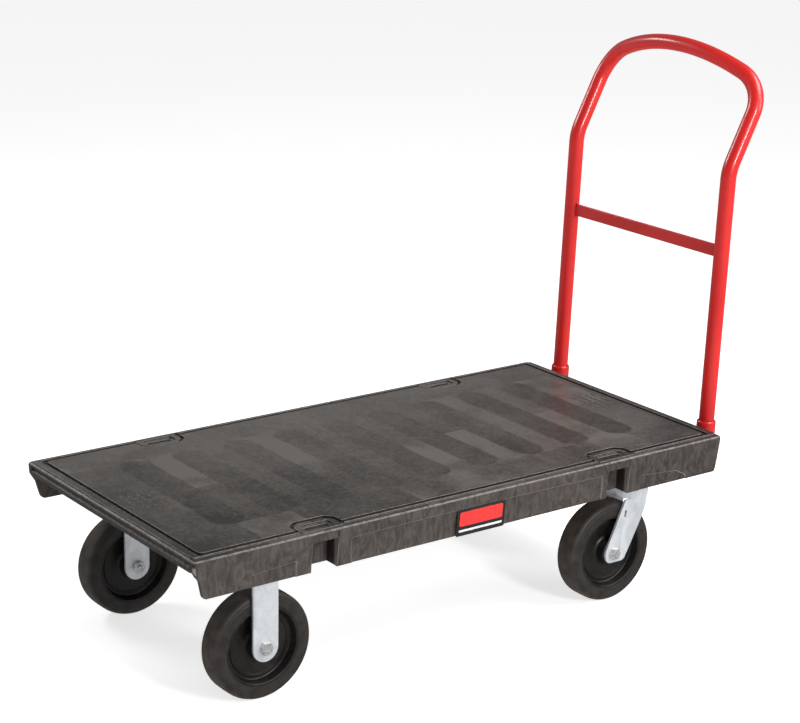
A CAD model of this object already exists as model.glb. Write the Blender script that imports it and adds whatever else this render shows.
"""Looks of the platform cart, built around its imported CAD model.

Units are metres, in the frame of the CAD: +Z is up and the cart stands on z = 0. Shapes of
the deck and the handle are written from the deck's own middle: x = 0 is half way along it,
z = 0 is the top of its side rims. The cart's left side is -Y and its handle stands at +X.
"""
import math

import bmesh
import bpy
from mathutils import Matrix, Vector


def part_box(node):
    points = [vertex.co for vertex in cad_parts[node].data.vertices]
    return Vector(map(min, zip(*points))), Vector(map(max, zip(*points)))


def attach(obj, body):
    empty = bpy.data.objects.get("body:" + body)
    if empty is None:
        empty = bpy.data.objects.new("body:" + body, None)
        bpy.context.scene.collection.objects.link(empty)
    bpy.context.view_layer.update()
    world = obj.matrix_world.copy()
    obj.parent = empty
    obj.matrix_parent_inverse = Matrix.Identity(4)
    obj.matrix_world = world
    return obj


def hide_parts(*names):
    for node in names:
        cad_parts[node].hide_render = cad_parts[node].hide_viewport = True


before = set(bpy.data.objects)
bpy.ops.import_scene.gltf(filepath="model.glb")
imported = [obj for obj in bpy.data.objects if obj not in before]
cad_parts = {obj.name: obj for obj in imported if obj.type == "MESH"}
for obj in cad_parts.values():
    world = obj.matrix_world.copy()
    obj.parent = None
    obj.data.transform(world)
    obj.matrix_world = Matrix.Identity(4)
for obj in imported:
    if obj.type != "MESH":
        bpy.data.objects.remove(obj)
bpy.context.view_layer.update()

# ---------- places taken from the CAD
DECK_LOW, DECK_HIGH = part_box("deck")
PANEL_RISE = 0.003  # the load surface stands this far above the side rims
DECK_MIDDLE = Vector(((DECK_LOW.x + DECK_HIGH.x) / 2, 0, DECK_HIGH.z - PANEL_RISE))
HALF_LENGTH = (DECK_HIGH.x - DECK_LOW.x) / 2
HALF_WIDTH = (DECK_HIGH.y - DECK_LOW.y) / 2
BOTTOM = DECK_LOW.z - DECK_MIDDLE.z  # the skirts' lower edge
SIDES = {"left": -1, "right": 1}

# ---------- deck
GAP = 0.0003  # left between surfaces that would touch
CUT = 0.02  # how far cutting bodies run past what they cut
BITE = 0.003  # how far joined bodies run into each other
PANEL_HALF_X, PANEL_HALF_Y = 0.605, 0.292  # the raised load surface
GROOVE_X, GROOVE_Y, GROOVE_HALF = 0.587, 0.2835, 0.004  # the groove round it: middle, half width
GROOVE_FLOOR = -0.003
DRAFT_START, DRAFT_TOP_INSET, SKIRT_DRAFT = 0.016, 0.0006, 0.006
SKIRT_WALL, DECK_SKIN = 0.008, 0.009
CORNER_RADIUS = 0.007
FRONT_WALL, FRONT_LIP = 0.01, 0.0235
APRON_FACE = 0.013  # the handle end's wall stands this far inside the edge
RIB_HALF, RIB_DEPTH, RIB_START, RIB_SPACING = 0.0025, 0.055, 0.06, 0.155
NOTCH_X, NOTCH_HALF, NOTCH_BACK_Y, NOTCH_ROOF, NOTCH_WALL = 0.3405, 0.0275, 0.265, 0.019, 0.006
SLOT_Y, SLOT_HALF_X, SLOT_HALF_Y = 0.2735, 0.026, 0.007
POCKET_Y, POCKET_GROOVE, ISLAND_TOP = 0.244, 0.0048, 0.0014  # the groove's arch, the pad in it
HOOK_STEP = 0.0036  # how deep a strap's hook sinks into the pad
MARK_COUNT, MARK_X, MARK_SPACING = 4, 0.5375, 0.0165
PLATE_BOLT_RADIUS, SOCKET_BOLT_RADIUS = 0.0047, 0.0039
STRIPE_COUNT, STRIPE_PERIOD, STRIPE_HALF_LONG = 9, 0.11375, 0.1925
HANDLE_Y = 0.2286

# ---------- handle
TUBE_RADIUS, TUBE_WALL, TUBE_SIDES = 0.01555, 0.0017, 48
HANDLE_X = HALF_LENGTH + 0.029  # tube centres, level with the side rims
HANDLE_LEAN, HANDLE_TILT = math.radians(2.23), math.radians(27.2)
BEND_RISE = 0.5172  # side rims to the bend
BEND_RADIUS, UPPER_LENGTH = 0.09, 0.1794
CORNER_BEND_RADIUS = 0.078
ARCH_SLOPE, ARCH_LEAN = math.radians(23.5), math.radians(-21.5)
SOCKET_DEPTH = 0.062

# ---------- wheels
WHEEL_SIDES = 128
WHEELS = ("rigid_left", "rigid_right", "swivel_left", "swivel_right")

# ---------- camera and lights
LENS, SENSOR_WIDTH, SHIFT_X = 98.6, 36, 0.0019
CAMERA_PLACE = Vector((DECK_MIDDLE.x - 2.3578, -3.2512, 1.7013))
CAMERA_RIGHT = Vector((0.8088, -0.5877, 0.0181))
CAMERA_BACK = Vector((-0.5671, -0.7715, 0.2883))
WORLD_FOR_CAMERA, WORLD_FOR_CART, FLOOR_GLOW = 1.0, 0.25, 0.68
SOFTBOXES = {  # place, aim, size and watts
    "key": ((0.1, -4.0, 2.05), (0.4, 0, 0.6), (0.7, 1.2), 85),
    "near_side": ((1.9, -1.6, 1.3), (0.6, -0.2, 0.8), (0.8, 0.8), 10),
    "far_side": ((-1.2, 2.9, 2.3), (-0.5, 0, 0.3), (1.2, 0.8), 36),
    "overhead": ((1.7, -1.3, 2.7), (0, 0, 0.3), (1.8, 1.3), 60),
}


# ---------- outlines
def rounded(corners, radii, steps=5, closed=False):
    """The line through some corners, each rounded by an arc of its own radius."""
    points = [Vector(corner) for corner in corners]
    line = []
    for index, (here, radius) in enumerate(zip(points, radii)):
        at_end = not closed and index in (0, len(points) - 1)
        if at_end or radius == 0:
            line.append(here)
            continue
        before = (points[index - 1] - here).normalized()
        after = (points[(index + 1) % len(points)] - here).normalized()
        half = before.angle(after) / 2
        centre = here + (before + after).normalized() * radius / math.sin(half)
        start = here + before * radius / math.tan(half) - centre
        end = here + after * radius / math.tan(half) - centre
        turn = start.angle(end)
        for step in range(steps + 1):
            share = step / steps
            one, other = math.sin((1 - share) * turn), math.sin(share * turn)
            line.append(centre + (start * one + end * other) / math.sin(turn))
    return line


def loop(corners, radii, steps=4):
    """A closed outline with rounded corners."""
    return rounded(corners, radii, steps, closed=True)


def rounded_box(half_x, half_y, radius, steps=6):
    corners = [(half_x, half_y), (-half_x, half_y), (-half_x, -half_y), (half_x, -half_y)]
    return loop(corners, [radius] * 4, steps)


def circle(radius, sides):
    turns = [2 * math.pi * step / sides for step in range(sides)]
    return [Vector((radius * math.cos(turn), radius * math.sin(turn))) for turn in turns]


def grown(outline, distance):
    """A closed outline moved outwards by a distance, corner by corner."""
    count, sharpest = len(outline), 0.3
    area = sum(outline[i - 1].cross(outline[i]) for i in range(count))
    result = []
    for index, here in enumerate(outline):
        before = (here - outline[index - 1]).normalized()
        after = (outline[(index + 1) % count] - here).normalized()
        along = (before + after).normalized()
        outward = Vector((along.y, -along.x)) * (1 if area > 0 else -1)
        half_turn = math.sqrt((1 + before.dot(after)) / 2)
        result.append(here + outward * distance / max(sharpest, half_turn))
    return result


# ---------- solids
def make_object(name, mesh):
    thing = bpy.data.objects.new(name, mesh)
    bpy.context.scene.collection.objects.link(thing)
    return thing


def loft_mesh(name, rings, hoop=False):
    """A closed mesh through rings of points: capped at both ends, or joined into a loop."""
    mesh = bmesh.new()
    rows = [[mesh.verts.new(point) for point in ring] for ring in rings]
    pairs = list(zip(rows, rows[1:]))
    if hoop:
        pairs.append((rows[-1], rows[0]))
    else:
        mesh.faces.new(rows[0])
        mesh.faces.new(rows[-1])
    for low, high in pairs:
        for index in range(len(low)):
            after = (index + 1) % len(low)
            mesh.faces.new([low[index], low[after], high[after], high[index]])
    bmesh.ops.recalc_face_normals(mesh, faces=mesh.faces)
    data = bpy.data.meshes.new(name)
    mesh.to_mesh(data)
    mesh.free()
    return data


def loft(name, rings, hoop=False):
    return make_object(name, loft_mesh(name, rings, hoop))


def box(name, low, high):
    corners = [(low[0], low[1]), (high[0], low[1]), (high[0], high[1]), (low[0], high[1])]
    return loft(name, [[(x, y, z) for x, y in corners] for z in (low[2], high[2])])


def prism(name, outline, low, high, axis):
    """One outline pushed along X or Y. It is given in (Y, Z) or (X, Z)."""
    rings = []
    for along in (low, high):
        rings.append([(along, a, b) if axis == "X" else (a, along, b) for a, b in outline])
    return loft(name, rings)


def turned_mesh(name, half_line):
    """Half a profile of (radius, place along Y), mirrored and turned about the Y axis."""
    profile = half_line + [Vector((radius, -along)) for radius, along in reversed(half_line[1:-1])]
    return loft_mesh(name, [
        [(radius * across, along, radius * up) for radius, along in profile]
        for across, up in circle(1, WHEEL_SIDES)
    ], hoop=True)


def sink(name, outline, floor, top, edge, foot=0.0006):
    """A cutter for a hollow in the deck's top, with a rounded edge and a rounded foot."""
    reach = edge + 0.003
    profile = rounded(
        [(-reach / 2, floor), (0, floor), (0, top), (reach, top + 0.0002), (reach, CUT)],
        [0, foot, edge, 0, 0],
    )
    return loft(name, [[(x, y, z) for x, y in grown(outline, step)] for step, z in profile])


def skirt_y(z):
    """How far out the skirt's face stands at a height."""
    if z > -DRAFT_START:
        return HALF_WIDTH - DRAFT_TOP_INSET * -z / DRAFT_START
    slope = (SKIRT_DRAFT - DRAFT_TOP_INSET) / (-BOTTOM - DRAFT_START)
    return HALF_WIDTH - DRAFT_TOP_INSET - slope * (-z - DRAFT_START)


def side_sink(name, outline, side, depth, edge, foot=0.0008, back_y=None):
    """A cutter for a hollow in a skirt's face, as deep as given or as far in as back_y."""
    reach = edge + 0.002
    profile = rounded(
        [(-2 * foot, depth), (0, depth), (0, 0), (reach, -0.0002), (reach, -CUT)],
        [0, foot, edge, 0, 0],
    )
    rings = []
    for step, down in profile:
        ring = []
        for x, z in grown(outline, step):
            face = skirt_y(z)
            y = face - down
            if back_y is not None and down > 0:
                y = face + (back_y - face) * down / depth
            ring.append((x, side * y, z))
        rings.append(ring)
    return loft(name, rings)


def combine(target, tools, operation):
    """Join tools to the target or cut them from it, and keep only the result."""
    for tool in tools:
        modifier = target.modifiers.new(operation.lower(), "BOOLEAN")
        modifier.object = tool
        modifier.operation = operation
        modifier.solver = "EXACT"
    settled = target.evaluated_get(bpy.context.evaluated_depsgraph_get())
    result = bpy.data.meshes.new_from_object(settled)
    target.modifiers.clear()
    target.data = result
    for tool in tools:
        bpy.data.objects.remove(tool, do_unlink=True)


def finish_piece(thing, material, body, place, angle=35):
    """Give a new piece its material, smooth shading, place, body and slot."""
    thing.data.materials.clear()
    thing.data.materials.append(material)
    thing.data.shade_smooth()
    thing.data.set_sharp_from_angle(angle=math.radians(angle))
    weighted = thing.modifiers.new("weighted_normals", "WEIGHTED_NORMAL")
    weighted.keep_sharp = True
    thing.location = place
    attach(thing, body)
    return thing


# ---------- material nodes
class Nodes:
    """Short ways to write one material's nodes."""

    def __init__(self, name):
        self.material = bpy.data.materials.new(name)
        self.material.use_nodes = True
        self.tree = self.material.node_tree
        self.shader = self.tree.nodes["Principled BSDF"]
        self.place = self.add("ShaderNodeTexCoord").outputs["Object"]
        self.x, self.y, self.z = self.parts(self.place)

    def add(self, kind):
        return self.tree.nodes.new(kind)

    def feed(self, socket, value):
        if isinstance(value, bpy.types.NodeSocket):
            self.tree.links.new(value, socket)
        else:
            socket.default_value = value

    def math(self, operation, *values):
        node = self.add("ShaderNodeMath")
        node.operation = operation
        for socket, value in zip(node.inputs, values):
            self.feed(socket, value)
        return node.outputs[0]

    def plus(self, first, *others):
        for other in others:
            first = self.math("ADD", first, other)
        return first

    def minus(self, one, other):
        return self.math("SUBTRACT", one, other)

    def times(self, first, *others):
        for other in others:
            first = self.math("MULTIPLY", first, other)
        return first

    def size(self, value):
        return self.math("ABSOLUTE", value)

    def count(self, value, length):
        """How many whole lengths fit into a value."""
        return self.math("FLOOR", self.math("DIVIDE", value, length))

    def vector(self, operation, *values):
        node = self.add("ShaderNodeVectorMath")
        node.operation = operation
        for socket, value in zip(node.inputs, values):
            self.feed(socket, value)
        return node.outputs["Value" if operation == "LENGTH" else "Vector"]

    def parts(self, value):
        node = self.add("ShaderNodeSeparateXYZ")
        self.feed(node.inputs[0], value)
        return node.outputs

    def joined(self, x, y, z):
        node = self.add("ShaderNodeCombineXYZ")
        for socket, value in zip(node.inputs, (x, y, z)):
            self.feed(socket, value)
        return node.outputs[0]

    def noise(self, scale, detail=3, place=None, distortion=0, stretch=(1, 1, 1)):
        node = self.add("ShaderNodeTexNoise")
        where = self.vector("MULTIPLY", place or self.place, stretch)
        self.feed(node.inputs["Vector"], where)
        for name, number in (("Scale", scale), ("Detail", detail), ("Distortion", distortion)):
            node.inputs[name].default_value = number
        return node.outputs["Fac"]

    def ramp(self, value, start, end, low=0.0, high=1.0):
        """A smooth step from low, where value is start, to high, where it is end."""
        node = self.add("ShaderNodeMapRange")
        node.interpolation_type = "SMOOTHSTEP"
        self.feed(node.inputs["Value"], value)
        if start > end:
            start, end, low, high = end, start, high, low
        for name, number in (("From Min", start), ("From Max", end), ("To Min", low), ("To Max", high)):
            node.inputs[name].default_value = number
        return node.outputs["Result"]

    def spread(self, noise, low=0.0, high=1.0):
        """The middle range of a noise, stretched from low to high."""
        return self.ramp(noise, 0.3, 0.7, low, high)

    def mix(self, share, one, other):
        node = self.add("ShaderNodeMix")
        node.data_type = "RGBA"
        self.feed(node.inputs["Factor"], share)
        self.feed(node.inputs["A"], one)
        self.feed(node.inputs["B"], other)
        return next(socket for socket in node.outputs if socket.type == "RGBA")

    def normal(self):
        return self.add("ShaderNodeNewGeometry").outputs["Normal"]

    def bevel(self, radius):
        node = self.add("ShaderNodeBevel")
        node.samples = 4
        node.inputs["Radius"].default_value = radius
        return node.outputs[0]

    def bump(self, height, distance, before=None):
        node = self.add("ShaderNodeBump")
        node.inputs["Distance"].default_value = distance
        self.feed(node.inputs["Height"], height)
        if before is not None:
            self.feed(node.inputs["Normal"], before)
        return node.outputs[0]

    def give(self, name, value):
        self.feed(self.shader.inputs[name], value)

    def finish(self, colour, roughness, normal, metallic=0.0):
        self.give("Base Color", colour)
        self.give("Roughness", roughness)
        self.give("Normal", normal)
        self.give("Metallic", metallic)
        return self.material


def rgb(red, green, blue):
    return (red, green, blue, 1.0)


def dark_stripes(nodes, wobble):
    """A row of wide dark stripes with round ends across the load surface: 1 inside, 0 outside."""
    half_wide, soft, row_soft = 0.0325, 0.003, 0.06
    row_end = STRIPE_COUNT / 2
    turns = nodes.plus(nodes.math("DIVIDE", nodes.x, STRIPE_PERIOD), 0.5)
    cell = nodes.minus(nodes.math("FRACT", turns), 0.5)
    across = nodes.times(nodes.size(cell), STRIPE_PERIOD)
    beyond = nodes.math("MAXIMUM", nodes.minus(nodes.size(nodes.y), STRIPE_HALF_LONG - half_wide), 0.0)
    reach = nodes.vector("LENGTH", nodes.joined(across, beyond, 0.0))
    inside = nodes.ramp(nodes.plus(reach, wobble), half_wide + soft, half_wide - soft)
    in_row = nodes.ramp(nodes.size(nodes.x), (row_end + row_soft) * STRIPE_PERIOD,
                        (row_end - row_soft) * STRIPE_PERIOD)
    return nodes.times(inside, in_row)


def pale_gaps(nodes, wobble):
    """The gaps between the dark stripes: each half of a gap has its own tone, and it fades."""
    gap_number = nodes.count(nodes.x, STRIPE_PERIOD)
    half_number = nodes.count(nodes.plus(nodes.y, wobble), STRIPE_HALF_LONG)
    place = nodes.joined(nodes.times(gap_number, 5.7), nodes.times(half_number, 3.3), 0.4)
    tone = nodes.ramp(nodes.noise(1.0, 0, place), 0.4, 0.66)
    fade = nodes.ramp(nodes.noise(9, 4, distortion=0.6), 0.36, 0.64, 0.1, 1.0)
    return nodes.times(tone, fade)


def mould_blocks(nodes):
    """Faint blocks of different tone that the mould left."""
    length, width, start_x, start_y = 0.145, 0.1, 0.02, 0.3
    block = nodes.joined(nodes.count(nodes.plus(nodes.x, start_x), length),
                         nodes.count(nodes.plus(nodes.y, start_y), width), 0.0)
    return nodes.noise(3.3, 0, block)


def load_surface_colour(nodes, patch, wobble, cloud, swirl, mottle, grain):
    """The top's colour: dark stripes, pale gaps and blocks, a pale pool, a seam and scuffs."""
    plain = nodes.plus(nodes.spread(cloud, 0.0, 0.26), nodes.ramp(swirl, 0.3, 0.75, 0.0, 0.16),
                       nodes.ramp(mottle, 0.35, 0.65, 0.0, 0.22), nodes.spread(grain, 0.0, 0.32))
    not_patch = nodes.minus(1.0, patch)
    gaps = nodes.times(pale_gaps(nodes, wobble), not_patch, 0.64)
    blocks = nodes.times(mould_blocks(nodes), not_patch, 0.3)
    pool_middle = (0.49, -0.15, 0.0)
    pool_reach = nodes.vector("LENGTH", nodes.vector("SUBTRACT", nodes.place, pool_middle))
    pool = nodes.times(nodes.ramp(pool_reach, 0.17, 0.05, 0.0, 0.26), not_patch)
    seam = nodes.times(nodes.ramp(nodes.size(nodes.y), 0.0016, 0.0004, 0.0, 0.25),
                       nodes.ramp(cloud, 0.4, 0.55))
    darker_ends = nodes.times(nodes.x, nodes.x, -0.9)
    paler_right = nodes.y
    slanted = nodes.vector("ADD", nodes.place, nodes.joined(0.0, nodes.times(nodes.x, 0.35), 0.0))
    scuffs = nodes.ramp(nodes.noise(9, 3, slanted, stretch=(1, 14, 1)), 0.7, 0.8, 0.0, 0.35)
    tone = nodes.plus(plain, gaps, blocks, pool, seam, darker_ends, paler_right, scuffs)
    return nodes.mix(tone, rgb(0.02, 0.0172, 0.015), rgb(0.132, 0.118, 0.107))


def groove_stain(nodes, colour, top, mottle):
    """A brown-black stain along the near groove, stronger towards the handle."""
    from_groove = nodes.size(nodes.plus(nodes.y, GROOVE_Y + 0.002))
    stain = nodes.times(nodes.ramp(from_groove, 0.011, 0.0065),
                        nodes.ramp(nodes.x, -0.45, 0.15, 0.3, 0.85),
                        top, nodes.ramp(mottle, 0.3, 0.6, 0.55, 1.0))
    return nodes.mix(stain, colour, rgb(0.018, 0.0128, 0.0112))


def skirt_colour(nodes, streak, grain):
    """The sides' colour: upright flow streaks, a little darker towards the handle."""
    tone = nodes.plus(nodes.ramp(streak, 0.3, 0.72, 0.12, 0.7), nodes.spread(grain, 0.0, 0.22),
                      nodes.ramp(nodes.x, 0.15, 0.5, 0.0, -0.16))
    return nodes.mix(tone, rgb(0.02, 0.0158, 0.0138), rgb(0.096, 0.08, 0.07))


def groove_dirt(nodes, colour, up, from_slot):
    """Dirt that darkens the groove round the load surface, but not the strap slots' own pads."""
    from_middle = nodes.size(nodes.y)
    beside, start = 0.005, 0.004
    inside_rim = nodes.times(nodes.ramp(from_middle, GROOVE_Y + beside, GROOVE_Y + start),
                             nodes.ramp(nodes.size(nodes.x), GROOVE_X + beside, GROOVE_X + start))
    off_slot = nodes.math("MAXIMUM", nodes.ramp(from_slot, 0.033, 0.034),
                          nodes.ramp(from_middle, 0.259, 0.258))
    hollow = nodes.math("MAXIMUM", nodes.ramp(up, 0.75, 0.35), nodes.ramp(nodes.z, -0.0004, -0.0014))
    near_top = nodes.ramp(nodes.z, -0.007, -0.005)
    dirt = nodes.times(inside_rim, off_slot, hollow, near_top, 0.8)
    return nodes.mix(dirt, colour, rgb(0.012, 0.0085, 0.007))


def dark_lip(nodes, colour):
    """The front lip's face, which is darker than the skirts."""
    lip_face = nodes.times(nodes.ramp(nodes.parts(nodes.normal())[0], -0.4, -0.8),
                           nodes.ramp(nodes.x, -0.585, -0.595), 0.5)
    return nodes.mix(lip_face, colour, rgb(0.012, 0.01, 0.009))


def notch_walls(nodes, colour, from_slot):
    """A notch's side walls: black grime far in, and a pale worn band by the skirt's face."""
    from_middle = nodes.size(nodes.y)
    across_wall = nodes.ramp(nodes.size(nodes.parts(nodes.normal())[0]), 0.7, 0.9)
    wall = nodes.times(nodes.ramp(from_slot, 0.0345, 0.0335), nodes.ramp(nodes.z, -0.015, -0.019),
                       across_wall)
    deep = nodes.times(wall, nodes.ramp(from_middle, 0.293, 0.285), 0.9)
    colour = nodes.mix(deep, colour, rgb(0.006, 0.005, 0.0045))
    worn = nodes.times(wall, nodes.ramp(from_middle, 0.286, 0.293), 0.7)
    return nodes.mix(worn, colour, rgb(0.17, 0.145, 0.13))


def worn_edges(nodes, colour, up, mottle):
    """Pale wear on the rims' rounded edges and along the edges of the skirts' sunken panels."""
    wear = nodes.times(nodes.ramp(up, 0.2, 0.45), nodes.ramp(up, 0.985, 0.9),
                       nodes.ramp(mottle, 0.3, 0.62, 0.15, 0.65))
    colour = nodes.mix(wear, colour, rgb(0.27, 0.245, 0.232))
    facing_out = nodes.size(nodes.parts(nodes.normal())[1])
    edge = nodes.times(nodes.ramp(facing_out, 0.985, 0.9), nodes.ramp(facing_out, 0.05, 0.3),
                       nodes.ramp(nodes.z, -0.01, -0.014),
                       nodes.ramp(nodes.z, BOTTOM + 0.002, BOTTOM + 0.004),
                       nodes.ramp(nodes.size(nodes.y), 0.285, 0.292),
                       nodes.ramp(mottle, 0.3, 0.62, 0.45, 0.85))
    return nodes.mix(edge, colour, rgb(0.26, 0.23, 0.215))


def deck_plastic():
    """Moulded charcoal plastic: a row of rounded stripes on top, flow streaks on the sides."""
    nodes = Nodes("deck_plastic")
    up = nodes.parts(nodes.normal())[2]
    top = nodes.ramp(up, 0.5, 0.9)
    cloud = nodes.noise(6, 5, distortion=0.8)
    swirl = nodes.noise(22, 6, distortion=1.6, stretch=(1, 0.6, 1))
    grain = nodes.noise(420, 2)
    mottle = nodes.noise(130, 5, distortion=0.6)
    streak = nodes.noise(42, 6, distortion=2.6, stretch=(1.0, 1.0, 0.42))
    wobble = nodes.times(nodes.minus(swirl, 0.5), 0.006)
    patch = nodes.times(dark_stripes(nodes, wobble), top)
    from_slot = nodes.size(nodes.minus(nodes.size(nodes.x), NOTCH_X))

    on_top = load_surface_colour(nodes, patch, wobble, cloud, swirl, mottle, grain)
    on_top = groove_stain(nodes, on_top, top, mottle)
    colour = nodes.mix(top, skirt_colour(nodes, streak, grain), on_top)
    colour = groove_dirt(nodes, colour, up, from_slot)
    colour = dark_lip(nodes, colour)
    colour = notch_walls(nodes, colour, from_slot)
    colour = worn_edges(nodes, colour, up, mottle)

    roughness = nodes.ramp(nodes.plus(swirl, nodes.times(patch, -0.06)), 0.25, 0.75, 0.36, 0.55)
    normal = nodes.bump(cloud, 0.0022, nodes.bevel(0.0016))
    normal = nodes.bump(swirl, 0.0005, normal)
    normal = nodes.bump(nodes.times(streak, nodes.minus(1.0, top)), 0.0012, normal)
    normal = nodes.bump(nodes.times(patch, -1.0), 0.00012, normal)
    normal = nodes.bump(grain, 0.00012, normal)
    return nodes.finish(colour, roughness, normal)


def red_paint():
    """Glossy red paint over tube: a trace of orange peel and slight unevenness of tone."""
    nodes = Nodes("red_paint")
    tone = nodes.noise(5, 3)
    peel = nodes.noise(420, 1)
    colour = nodes.mix(nodes.spread(tone), rgb(0.54, 0.0058, 0.0042), rgb(0.63, 0.0098, 0.0068))
    roughness = nodes.spread(tone, 0.3, 0.38)
    normal = nodes.bump(peel, 0.00003, nodes.bevel(0.0008))
    nodes.give("Coat Weight", 0.4)
    nodes.give("Coat Roughness", 0.05)
    return nodes.finish(colour, roughness, normal)


def zinc_plate():
    """Bright zinc plating: cloudy, faintly blue, with fine specks."""
    nodes = Nodes("zinc_plate")
    cloud = nodes.noise(30, 5, distortion=1.0, stretch=(1, 1, 0.6))
    specks = nodes.noise(900, 2)
    colour = nodes.mix(nodes.spread(cloud), rgb(0.7, 0.73, 0.77), rgb(0.88, 0.91, 0.94))
    colour = nodes.mix(nodes.ramp(specks, 0.52, 0.7, 0.0, 0.6), colour, rgb(0.46, 0.44, 0.47))
    roughness = nodes.ramp(cloud, 0.25, 0.75, 0.3, 0.46)
    normal = nodes.bump(cloud, 0.00025, nodes.bevel(0.001))
    normal = nodes.bump(specks, 0.00005, normal)
    return nodes.finish(colour, roughness, normal, 0.55)


def bright_steel():
    """Plated fasteners: brighter than the forks, a little tarnished in patches."""
    nodes = Nodes("bright_steel")
    tarnish = nodes.noise(190, 4, distortion=0.8)
    scratches = nodes.noise(260, 2, stretch=(1, 1, 7))
    colour = nodes.mix(nodes.ramp(tarnish, 0.35, 0.7), rgb(0.9, 0.92, 0.95), rgb(0.52, 0.51, 0.48))
    roughness = nodes.spread(tarnish, 0.22, 0.42)
    normal = nodes.bump(scratches, 0.00006, nodes.bevel(0.0006))
    return nodes.finish(colour, roughness, normal, 0.8)


def tyre_rubber():
    """Brown-black tyre: dusty tan on the tread, fine circular mould marks on the walls."""
    nodes = Nodes("tyre_rubber")
    radius = nodes.vector("LENGTH", nodes.joined(nodes.x, 0.0, nodes.z))
    dust_cloud = nodes.noise(45, 5, distortion=0.6)
    dust = nodes.times(nodes.ramp(radius, 0.094, 0.1012), nodes.spread(dust_cloud, 0.35))
    rings = nodes.noise(1.0, 1, nodes.joined(nodes.times(radius, 900.0), 0.0, 0.0))
    grain = nodes.noise(700, 2)
    colour = nodes.mix(nodes.spread(dust_cloud), rgb(0.014, 0.0113, 0.0098), rgb(0.026, 0.021, 0.018))
    colour = nodes.mix(nodes.times(dust, 0.55), colour, rgb(0.085, 0.066, 0.052))
    roughness = nodes.ramp(dust, 0.0, 1.0, 0.52, 0.74)
    normal = nodes.bump(rings, 0.00006, nodes.bevel(0.0008))
    normal = nodes.bump(grain, 0.00008, normal)
    return nodes.finish(colour, roughness, normal)


def core_plastic():
    """Black moulded core: satin, with cloudy flow marks and a fine grain."""
    nodes = Nodes("core_plastic")
    flow = nodes.noise(28, 5, distortion=1.4)
    grain = nodes.noise(520, 2)
    colour = nodes.mix(nodes.spread(flow), rgb(0.006, 0.005, 0.0045), rgb(0.016, 0.013, 0.0115))
    roughness = nodes.spread(flow, 0.34, 0.5)
    normal = nodes.bump(flow, 0.0004, nodes.bevel(0.0008))
    normal = nodes.bump(grain, 0.00006, normal)
    return nodes.finish(colour, roughness, normal)


def badge_ink(name, dark, light, rough):
    """One ink of the badge's film, with a faint print grain and fine scratches."""
    nodes = Nodes(name)
    grain = nodes.noise(800, 2)
    scratches = nodes.ramp(nodes.noise(90, 3, stretch=(1, 1, 9)), 0.66, 0.74)
    colour = nodes.mix(nodes.spread(grain), dark, light)
    roughness = nodes.ramp(scratches, 0.0, 1.0, rough, rough + 0.2)
    normal = nodes.bump(grain, 0.00003, nodes.bevel(0.0004))
    return nodes.finish(colour, roughness, normal)


# ---------- deck
def deck_body():
    """The outside: skirts, rounded top edges, side rims, groove and load surface."""
    inner = 0.0005
    corners = [
        (HALF_LENGTH - 0.009, HALF_WIDTH - 0.009, 0.0035, BOTTOM, 0),
        (HALF_LENGTH - SKIRT_DRAFT, HALF_WIDTH - SKIRT_DRAFT, 0.005, BOTTOM, 0.0015),
        (HALF_LENGTH - DRAFT_TOP_INSET, HALF_WIDTH - DRAFT_TOP_INSET, 0.0068, -DRAFT_START, 0),
        (HALF_LENGTH, HALF_WIDTH, CORNER_RADIUS, 0, 0.0042),
        (PANEL_HALF_X, PANEL_HALF_Y, 0.0085, 0, 0.0006),
        (PANEL_HALF_X - inner, PANEL_HALF_Y - inner, 0.008, PANEL_RISE, 0.0013),
        (GROOVE_X + GROOVE_HALF + inner, GROOVE_Y + GROOVE_HALF + inner, 0.01, PANEL_RISE, 0.0013),
        (GROOVE_X + GROOVE_HALF, GROOVE_Y + GROOVE_HALF, 0.01, GROOVE_FLOOR, 0.0006),
        (GROOVE_X - GROOVE_HALF, GROOVE_Y - GROOVE_HALF, 0.009, GROOVE_FLOOR, 0.0006),
        (GROOVE_X - GROOVE_HALF - inner, GROOVE_Y - GROOVE_HALF - inner, 0.009, PANEL_RISE, 0.0013),
        (GROOVE_X - 0.02, GROOVE_Y - 0.02, 0.006, PANEL_RISE, 0),
    ]
    line = rounded_rows(corners)
    return loft("deck_shell", [
        [(x, y, z) for x, y in rounded_box(half_x, half_y, radius, 7)]
        for half_x, half_y, radius, z in line
    ])


def rounded_rows(corners, steps=4):
    """rounded() for rows of four numbers and a radius: both half sizes move together."""
    flat = rounded([(y, z) for _, y, _, z, _ in corners], [row[4] for row in corners], steps)
    rows = []
    index = 0
    for number, (half_x, half_y, radius, _, edge) in enumerate(corners):
        count = 1 if edge == 0 or number in (0, len(corners) - 1) else steps + 1
        for point in flat[index:index + count]:
            rows.append((half_x + point.x - half_y, point.x, radius, point.y))
        index += count
    return rows


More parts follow.
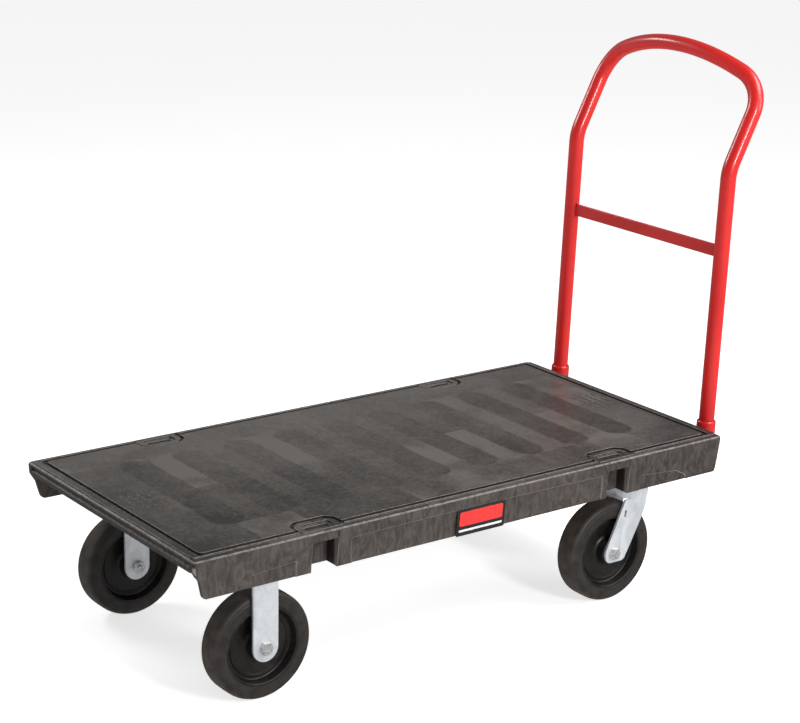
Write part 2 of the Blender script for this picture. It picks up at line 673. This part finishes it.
def deck_end_cutters():
    """What slants the skirts' ends and opens the front end."""
    front, back, below = -HALF_LENGTH, HALF_LENGTH, BOTTOM - CUT
    front_outline = loop([
        (front - CUT, -0.02), (front + 0.0005, -0.02), (front + 0.005, -0.026),
        (front + 0.0136, -0.04), (front + 0.019, -0.0615), (front + 0.0225, BOTTOM + 0.0003),
        (front + 0.06, BOTTOM - 0.0003), (front + 0.06, below), (front - CUT, below),
    ], [0, 0.001, 0.004, 0.015, 0.02, 0.009, 0, 0, 0])
    back_outline = loop([
        (back + CUT, -0.016), (back - 0.0004, -0.016), (back - 0.0085, -0.066),
        (back - 0.011, BOTTOM + 0.0003), (back - 0.06, BOTTOM - 0.0003), (back - 0.06, below),
        (back + CUT, below),
    ], [0, 0.003, 0.01, 0.006, 0, 0, 0])
    outside = HALF_WIDTH + CUT
    inside = HALF_WIDTH - SKIRT_DRAFT - SKIRT_WALL
    cutters = [
        prism("front_skirt_ends", front_outline, side * (inside - GAP), side * outside, "Y")
        for side in SIDES.values()
    ]
    cutters.append(prism("back_slant", back_outline, -outside, outside, "Y"))
    cutters.append(box("front_opening", (front - CUT, -inside, below),
                       (front + FRONT_WALL + GAP, inside, -FRONT_LIP)))
    return cutters


def front_channel():
    """A shallow channel along the face of the front lip, under its rounded edge."""
    front, half_long = -HALF_LENGTH, HALF_WIDTH - 0.016
    low, high, depth = -0.015, -0.005, 0.0045
    profile = loop([
        (front + depth, low + 0.002), (front + depth, high), (front, high), (front - CUT, high),
        (front - CUT, low), (front, low),
    ], [0.0015, 0.0025, 0, 0, 0, 0])
    return prism("front_channel", profile, -half_long, half_long, "Y")


def deck_hollow():
    low_x, high_x = -HALF_LENGTH + FRONT_WALL, HALF_LENGTH - APRON_FACE - SKIRT_WALL
    rings = []
    for z in (-DECK_SKIN, BOTTOM - CUT):
        draft = SKIRT_DRAFT * (z + DECK_SKIN) / (BOTTOM + DECK_SKIN)
        half_y = HALF_WIDTH - SKIRT_WALL - draft
        corners = [(low_x, -half_y), (high_x, -half_y), (high_x, half_y), (low_x, half_y)]
        outline = loop(corners, [0, 0.006, 0.006, 0], 5)
        rings.append([(x, y, z) for x, y in outline])
    return loft("hollow", rings)


def deck_ribs():
    hair, root = 0.001, -DECK_SKIN + BITE
    inner_side = HALF_WIDTH - SKIRT_WALL
    front, back = -HALF_LENGTH + RIB_START, HALF_LENGTH - APRON_FACE - SKIRT_WALL + BITE
    ribs = [box("cross_rib", (-RIB_HALF, -inner_side - BITE, -RIB_DEPTH - hair),
                (RIB_HALF, inner_side + BITE, root - hair))]
    for place in (-1, 0, 1):
        y = place * RIB_SPACING
        ribs.append(box("long_rib", (front, y - RIB_HALF, -RIB_DEPTH), (back, y + RIB_HALF, root)))
    return ribs


def caster_pad(label):
    """The solid block under the load surface that a caster's plate is bolted against."""
    low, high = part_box(label)
    grow = Vector((0.005, 0.005, 0))
    low, high = low - DECK_MIDDLE - grow, high - DECK_MIDDLE + grow
    return box("caster_pad", (low.x, low.y, high.z + GAP), (high.x, high.y, -DECK_SKIN + 0.002))


def notch_block(x, side):
    """The solid block behind a skirt that a notch is cut into."""
    half, outer = NOTCH_HALF + NOTCH_WALL, HALF_WIDTH - SKIRT_WALL + 0.0005
    near, far = sorted((side * (NOTCH_BACK_Y - NOTCH_WALL), side * outer))
    return box("notch_block", (x - half, near, BOTTOM + 0.0004), (x + half, far, -DECK_SKIN + 0.004))


def notch_roof(x, side):
    """The plate that closes a notch's top, which the strap slot goes through."""
    near, far = sorted((side * (NOTCH_BACK_Y - BITE), side * (HALF_WIDTH - BITE - 0.0005)))
    half = NOTCH_HALF + 0.002
    return box("notch_roof", (x - half, near, -NOTCH_ROOF - 0.0004), (x + half, far, -DECK_SKIN + BITE))


def notch_cutter(x, side):
    half, below = NOTCH_HALF, BOTTOM - CUT
    corners = [(x - half, -NOTCH_ROOF), (x + half, -NOTCH_ROOF), (x + half, below), (x - half, below)]
    outline = loop(corners, [0.002, 0.002, 0, 0])
    depth = HALF_WIDTH - NOTCH_BACK_Y
    return side_sink("notch", outline, side, depth, 0.0012, 0.002, NOTCH_BACK_Y)


def web_recess(x, side):
    """The bar over a notch stands back a little from the skirt beside it."""
    half, top, low = NOTCH_HALF + 0.0005, -0.0055, -0.03
    outer, back = side * (HALF_WIDTH + CUT), side * (skirt_y(-NOTCH_ROOF) - 0.0014)
    outline = loop([(outer, top), (back, top), (back, low), (outer, low)], [0, 0.001, 0, 0])
    return prism("web_recess", outline, x - half, x + half, "X")


def middle_panel(side):
    """The long sunken panel of a skirt, between the notches, under a low arch."""
    half, steps, column = 0.2995, 12, 0.0145
    low_x, high_x = -half + column, half
    arch_top = [
        (x, -0.0232 - 0.03 * x * x)
        for x in [high_x + (low_x - high_x) * step / steps for step in range(steps + 1)]
    ]
    outline = loop([(low_x + 0.004, BOTTOM - 0.006), (high_x, BOTTOM - 0.006)] + arch_top,
                   [0, 0, 0.006] + [0] * (steps - 1) + [0.006])
    return side_sink("middle_panel", outline, side, 0.0028, 0.002)


def end_panel(end, side):
    """The sunken lower part of a skirt beyond a notch, under a sloping step."""
    outline = loop([
        (end * 0.4, -0.0445), (end * 0.493, -0.052), (end * 0.5186, -0.065),
        (end * 0.524, BOTTOM - 0.006), (end * 0.4, BOTTOM - 0.006),
    ], [0.003, 0.01, 0.01, 0, 0])
    return side_sink("end_panel", outline, side, 0.0024, 0.0016)


def arch(x, side, inner, outer, shrink, outer_radius):
    """An outline that arches round a strap slot, its narrow side towards the deck's middle."""
    narrow, half, shoulder = 0.033 - shrink, 0.048 - shrink, 0.015
    corners = [
        (x - narrow, side * inner), (x + narrow, side * inner), (x + half, side * (inner + shoulder)),
        (x + half, side * outer), (x - half, side * outer), (x - half, side * (inner + shoulder)),
    ]
    return loop(corners, [0.014, 0.014, 0.012, outer_radius, outer_radius, 0.012], 5)


def strap_pocket(x, side):
    """Where the groove goes round a strap slot, before the slot's own pad is put back."""
    outline = arch(x, side, POCKET_Y, PANEL_HALF_Y - GAP, 0, 0.003)
    return sink("strap_pocket", outline, GROOVE_FLOOR - 0.0004, PANEL_RISE, 0.0013)


def strap_island(x, side):
    """The low pad inside the groove's arch, about level with the rim; the slot goes through it."""
    outline = arch(x, side, POCKET_Y + POCKET_GROOVE, PANEL_HALF_Y + 0.003, POCKET_GROOVE, 0.0025)
    profile = rounded([(0, -0.006), (0, ISLAND_TOP), (-0.0014, ISLAND_TOP)], [0, 0.001, 0], 5)
    return loft("strap_island", [[(a, b, z) for a, b in grown(outline, step)] for step, z in profile])


def slot_outline(x, side, past, radius):
    corners = rounded_box(SLOT_HALF_X + past, SLOT_HALF_Y + past, radius)
    return [Vector((x, side * SLOT_Y)) + point for point in corners]


def strap_slot(x, side):
    outline = slot_outline(x, side, 0, 0.0045)
    return sink("strap_slot", outline, -NOTCH_ROOF - CUT / 2, ISLAND_TOP - HOOK_STEP, 0.0014)


def strap_recess(x, side):
    """The step that lets a strap's hook sink into the pad round the slot."""
    outline = slot_outline(x, side, 0.0055, 0.0055)
    return sink("strap_recess", outline, ISLAND_TOP - HOOK_STEP, ISLAND_TOP, 0.001)


def end_mark(end, number):
    """One short plain groove of the four near each end of the load surface."""
    x = end * MARK_X + (number - (MARK_COUNT - 1) / 2) * MARK_SPACING
    outline = [Vector((x, 0)) + point for point in rounded_box(0.0022, 0.042, 0.0021, 5)]
    return sink("end_mark", outline, PANEL_RISE - 0.0016, PANEL_RISE, 0.0005, 0.0008)


def socket_recess(side):
    half = 0.038
    return box("socket_recess", (HALF_LENGTH - APRON_FACE, side * HANDLE_Y - half, BOTTOM - CUT),
               (HALF_LENGTH + CUT, side * HANDLE_Y + half, -0.018))


def bolt_holes():
    """Clearance round every bolt that goes into the deck."""
    clearance = 0.0005
    holes = []
    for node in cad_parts:
        if not node.startswith(("plate_bolt", "socket_bolt")):
            continue
        low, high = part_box(node)
        low, high = low - DECK_MIDDLE, high - DECK_MIDDLE
        middle = (low + high) / 2
        if node.startswith("plate_bolt"):
            outline = [(middle.x + a, middle.y + b)
                       for a, b in circle(PLATE_BOLT_RADIUS + clearance, 16)]
            holes.append(loft("hole", [[(a, b, z) for a, b in outline]
                                       for z in (BOTTOM - CUT, high.z + 0.002)]))
        else:
            outline = [(middle.y + a, middle.z + b)
                       for a, b in circle(SOCKET_BOLT_RADIUS + clearance, 16)]
            holes.append(prism("hole", outline, low.x - 0.01, HALF_LENGTH + CUT, "X"))
    return holes


def build_deck(material):
    deck = deck_body()
    combine(deck, [deck_hollow()] + deck_end_cutters(), "DIFFERENCE")
    added = deck_ribs()
    added += [caster_pad(node) for node in
              ("plate_swivel_left", "plate_swivel_right", "fork_rigid_left", "fork_rigid_right")]
    notches, roofs, pockets, islands, recesses, sunk = [], [], [], [], [], [front_channel()]
    for side in SIDES.values():
        for x in (-NOTCH_X, NOTCH_X):
            added.append(notch_block(x, side))
            notches.append(notch_cutter(x, side))
            roofs.append(notch_roof(x, side))
            pockets.append(strap_pocket(x, side))
            islands.append(strap_island(x, side))
            recesses.append(strap_recess(x, side))
            sunk += [strap_slot(x, side), web_recess(x, side)]
        sunk += [middle_panel(side), end_panel(1, side), end_panel(-1, side), socket_recess(side)]
    for end in (-1, 1):
        sunk += [end_mark(end, number) for number in range(MARK_COUNT)]
    combine(deck, added, "UNION")
    combine(deck, notches, "DIFFERENCE")
    combine(deck, roofs, "UNION")
    combine(deck, pockets, "DIFFERENCE")
    combine(deck, islands, "UNION")
    combine(deck, recesses, "DIFFERENCE")
    combine(deck, sunk + bolt_holes(), "DIFFERENCE")
    finish_piece(deck, material, "platform", DECK_MIDDLE, 30)
    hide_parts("deck")


def build_badge(black, red, white):
    """A plain generic badge: a black film over the plate, with a red bar and a pale line on it."""
    low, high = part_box("badge_plate")
    middle = (low + high) / 2
    half_long, half_high = (high.x - low.x) / 2, (high.z - low.z) / 2
    lean = math.atan((high.y - low.y - 0.001) / (high.z - low.z))

    def slab(name, half_x, half_z, radius, centre_z, back, face, edge, material):
        profile = rounded([(0, back), (0, face), (-edge * 3, face)], [0, edge, 0], 4)
        rings = []
        for step, y in profile:
            outline = rounded_box(half_x + step, half_z + step, radius)
            rings.append([(a, -y, centre_z + b) for a, b in outline])
        piece = loft(name, rings)
        piece.data.transform(Matrix.Rotation(lean, 4, "X"))
        return finish_piece(piece, material, "platform", middle)

    past_x, past_z, drop, margin = 0.002, 0.0022, 0.002, 0.004
    film_back, film_face, ink_face = -0.0004, 0.0002, 0.00045
    plate = slab("badge_plate_film", half_long + past_x, half_high + past_z, 0.003, -drop,
                 film_back, film_face, 0.0002, black)
    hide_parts("badge_plate")
    slab("badge_bar", half_long - margin, 0.0145, 0.004, 0.0055, 0, ink_face, 0.0001, red)
    slab("badge_line", half_long - margin, 0.0022, 0.0012, -0.018, 0, ink_face, 0.0001, white)


# ---------- handle
def lean_vector(angle):
    return Vector((math.sin(angle), 0, math.cos(angle)))


def bend(corner, incoming, outgoing, radius, steps):
    """Points round a bend of a tube whose straight lines would meet at the corner."""
    turn = incoming.angle(outgoing)
    inward = (outgoing - incoming * incoming.dot(outgoing)).normalized()
    start = corner - incoming * radius * math.tan(turn / 2)
    points = []
    for step in range(steps + 1):
        angle = turn * step / steps
        sideways = (1 - math.cos(angle)) * inward
        points.append(start + radius * (math.sin(angle) * incoming + sideways))
    return points


def handle_path():
    """The tube's centre line, foot to foot, from the middle of the deck."""
    lower, upper, arch_up = (lean_vector(angle) for angle in (HANDLE_LEAN, HANDLE_TILT, ARCH_LEAN))
    socket = Vector((HANDLE_X, HANDLE_Y, 0))
    knee = socket + lower * BEND_RISE / math.cos(HANDLE_LEAN)
    corner = knee + upper * UPPER_LENGTH
    across = Vector((0, 1, 0))
    into_arch = arch_up * math.sin(ARCH_SLOPE) - across * math.cos(ARCH_SLOPE)
    half = [socket - lower * (SOCKET_DEPTH - GAP)]
    half += bend(knee, lower, upper, BEND_RADIUS, 14)
    half += bend(corner, upper, into_arch, CORNER_BEND_RADIUS, 24)
    start, steps = half[-1], 16
    radius = start.y / math.sin(ARCH_SLOPE)
    for step in range(1, steps + 1):
        angle = ARCH_SLOPE * (1 - step / steps)
        rise = radius * (math.cos(angle) - math.cos(ARCH_SLOPE))
        half.append(Vector((start.x, radius * math.sin(angle), start.z)) + arch_up * rise)
    return half + [Vector((point.x, -point.y, point.z)) for point in reversed(half[:-1])]


def tube_rings(path, radius):
    """Rings of a tube's surface, square to its path and never twisting."""
    rings, across, last = [], Vector((1, 0, 0)), len(path) - 1
    for index, point in enumerate(path):
        ahead = (path[min(index + 1, last)] - point).normalized()
        behind = (point - path[max(index - 1, 0)]).normalized()
        tangent = (ahead + behind).normalized()
        across = (across - tangent * across.dot(tangent)).normalized()
        other = tangent.cross(across)
        rings.append([point + across * x + other * y for x, y in circle(radius, TUBE_SIDES)])
    return rings


def build_handle(material):
    path = handle_path()
    outer = tube_rings(path, TUBE_RADIUS)
    inner = tube_rings(path, TUBE_RADIUS - TUBE_WALL)
    tube = loft("handle_tube_bent", outer + inner[::-1], hoop=True)
    finish_piece(tube, material, "handle", DECK_MIDDLE)
    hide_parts("handle_tube")


def weld_ring(name, half_thick, half_high, side, bar_end):
    """A rippled ring of weld round one end of the flat bar."""
    inset, thickness, ripple, ripple_step, steps = 0.0006, 0.0019, 0.0004, 1.9, 8
    outward_share, along_share = 0.7, 0.8
    inside = rounded_box(half_thick - inset, half_high - inset, 0.001, 8)
    rings = []
    for step in range(steps):
        angle = 2 * math.pi * step / steps
        ring = []
        for index, point in enumerate(inside):
            swell = thickness + ripple * math.sin(index * ripple_step)
            out = point.normalized() * swell * (1 + math.cos(angle)) * outward_share
            along = side * (bar_end + ripple + swell * math.sin(angle) * along_share)
            ring.append((point.x + out.x, along, point.y + out.y))
        rings.append(ring)
    return loft(name, rings, hoop=True)


def build_crossbar(material):
    """The flat bar with rounded edges, and a ring of weld where it meets each upright."""
    low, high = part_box("handle_crossbar")
    middle = (low + high) / 2
    half_thick, half_high = 0.0025, 0.0127
    turn = Matrix.Rotation(HANDLE_LEAN, 4, "Y")

    def section(grow, y):
        outline = rounded_box(half_thick + grow, half_high + grow, 0.0016 + max(0, grow), 4)
        return [(x, y, z) for x, z in outline]

    bar = loft("handle_crossbar_flat", [section(0, low.y), section(0, high.y)])
    bar.data.transform(turn)
    finish_piece(bar, material, "handle", middle)
    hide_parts("handle_crossbar")
    for name, side in SIDES.items():
        weld = weld_ring(f"crossbar_weld_{name}", half_thick, half_high, side, high.y)
        weld.data.transform(turn)
        finish_piece(weld, material, "handle", middle, 80)


# ---------- wheels
def tyre_mesh():
    """A solid tyre: lightly crowned tread, round shoulders, a low step on each wall."""
    outer, half, bore = 0.1016, 0.0253, 0.0751
    half_line = rounded([
        (bore, 0), (bore, half - 0.0002), (0.0895, half - 0.0002),
        (0.0912, half - 0.0009), (outer - 0.0006, half - 0.0012), (outer, 0),
    ], [0, 0.0003, 0.001, 0.001, 0.0085, 0], 7)
    return turned_mesh("tyre", half_line)


def core_mesh():
    """The moulded core: rim, recessed web with a raised ring, and a long hub."""
    half_line = rounded([
        (0.0748, 0), (0.0748, 0.025), (0.0705, 0.025), (0.0668, 0.009), (0.061, 0.009),
        (0.0604, 0.0112), (0.0578, 0.0112), (0.0572, 0.0088), (0.032, 0.0072),
        (0.0262, 0.01), (0.025, 0.0276), (0.011, 0.0276), (0.011, 0),
    ], [0, 0.0003, 0.0018, 0.003, 0.0006, 0.0007, 0.0007, 0.0008, 0.006, 0.006, 0.001, 0.0006, 0], 5)
    return turned_mesh("core", half_line)


def build_wheels(rubber, plastic):
    shapes = {
        "tyre": (tyre_mesh(), rubber, "tyre_rubber"),
        "wheel_core": (core_mesh(), plastic, "core_plastic"),
    }
    for label in WHEELS:
        kind, side_name = label.split("_")
        for part, (mesh, material, slot) in shapes.items():
            low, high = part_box(f"{part}_{label}")
            piece = make_object(f"{part}_{label}_turned", mesh)
            body = f"{kind}_wheel_{side_name}"
            finish_piece(piece, material, body, (low + high) / 2)
            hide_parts(f"{part}_{label}")


# ---------- carried-over CAD nodes
def soften(node, width):
    """Round a CAD node's sharp edges by modifiers, and leave its mesh alone."""
    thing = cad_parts[node]
    weld = thing.modifiers.new("weld", "WELD")
    weld.merge_threshold = 0.00002
    bevel = thing.modifiers.new("bevel", "BEVEL")
    bevel.width = width
    bevel.segments = 2
    bevel.limit_method = "ANGLE"
    bevel.angle_limit = math.radians(40)
    bevel.harden_normals = True


def dress_cad_nodes(finishes):
    starts = {
        "fork_": ("zinc", 0.0009), "plate_swivel": ("zinc", 0.0009), "raceway_": ("zinc", 0.0004),
        "kingpin": ("steel", 0.0003), "axle_": ("steel", 0.0005), "hub_sleeve_": ("steel", 0.0002),
        "plate_bolt": ("steel", 0.0003), "socket_bolt": ("steel", 0.0003),
        "handle_socket": ("red", 0.0006),
    }
    for node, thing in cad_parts.items():
        if thing.hide_render:
            continue
        for start, (finish, width) in starts.items():
            if node.startswith(start):
                thing.data.materials.clear()
                thing.data.materials.append(finishes[finish])
                soften(node, width)
                break


# ---------- studio
def build_camera():
    data = bpy.data.cameras.new("camera")
    data.lens, data.sensor_width, data.shift_x = LENS, SENSOR_WIDTH, SHIFT_X
    camera = make_object("camera", data)
    right, back = CAMERA_RIGHT.normalized(), CAMERA_BACK.normalized()
    turn = Matrix((right, back.cross(right), back)).transposed().to_4x4()
    camera.matrix_world = Matrix.Translation(CAMERA_PLACE) @ turn
    bpy.context.scene.camera = camera


def build_floor():
    nodes = Nodes("studio_floor")
    mottle = nodes.noise(3, 2)
    colour = nodes.mix(mottle, rgb(0.86, 0.86, 0.86), rgb(0.88, 0.88, 0.88))
    nodes.give("Emission Color", rgb(1, 1, 1))
    nodes.give("Emission Strength", FLOOR_GLOW)
    material = nodes.finish(colour, nodes.ramp(mottle, 0, 1, 0.7, 0.8), nodes.bump(mottle, 0.0001))
    half, drop = 60, 0.0002
    mesh = bpy.data.meshes.new("floor")
    mesh.from_pydata([(-half, -half, 0), (half, -half, 0), (half, half, 0), (-half, half, 0)], [],
                     [(0, 1, 2, 3)])
    floor = make_object("floor", mesh)
    mesh.materials.append(material)
    floor.location.z = -drop
    floor.visible_glossy = False


def softbox(name, place, aim, size, power):
    data = bpy.data.lights.new(name, "AREA")
    data.shape = "RECTANGLE"
    data.size, data.size_y = size
    data.energy = power
    light = make_object(name, data)
    light.location = place
    light.rotation_euler = (Vector(aim) - Vector(place)).to_track_quat("-Z", "Y").to_euler()


def build_lights():
    """A pale surround that looks white to the camera and dimmer to the cart, and softboxes."""
    world = bpy.data.worlds.new("studio")
    bpy.context.scene.world = world
    world.use_nodes = True
    tree = world.node_tree
    background = tree.nodes["Background"]
    background.inputs["Color"].default_value = rgb(1.0, 1.0, 1.0)
    seen = tree.nodes.new("ShaderNodeLightPath").outputs["Is Camera Ray"]
    strength = tree.nodes.new("ShaderNodeMapRange")
    strength.inputs["To Min"].default_value = WORLD_FOR_CART
    strength.inputs["To Max"].default_value = WORLD_FOR_CAMERA
    tree.links.new(seen, strength.inputs["Value"])
    tree.links.new(strength.outputs["Result"], background.inputs["Strength"])
    for name, (place, aim, size, power) in SOFTBOXES.items():
        softbox(name, place, aim, size, power)
    bpy.context.scene.view_settings.view_transform = "Standard"


# ---------- everything
def build_scene():
    finishes = {"zinc": zinc_plate(), "steel": bright_steel(), "red": red_paint()}
    build_deck(deck_plastic())
    build_badge(badge_ink("badge_black", rgb(0.012, 0.011, 0.011), rgb(0.022, 0.021, 0.021), 0.28),
                badge_ink("badge_red", rgb(0.62, 0.022, 0.02), rgb(0.72, 0.04, 0.034), 0.26),
                badge_ink("badge_pale", rgb(0.62, 0.62, 0.61), rgb(0.72, 0.72, 0.71), 0.3))
    build_handle(finishes["red"])
    build_crossbar(finishes["red"])
    build_wheels(tyre_rubber(), core_plastic())
    dress_cad_nodes(finishes)
    build_floor()
    build_lights()
    build_camera()


build_scene()
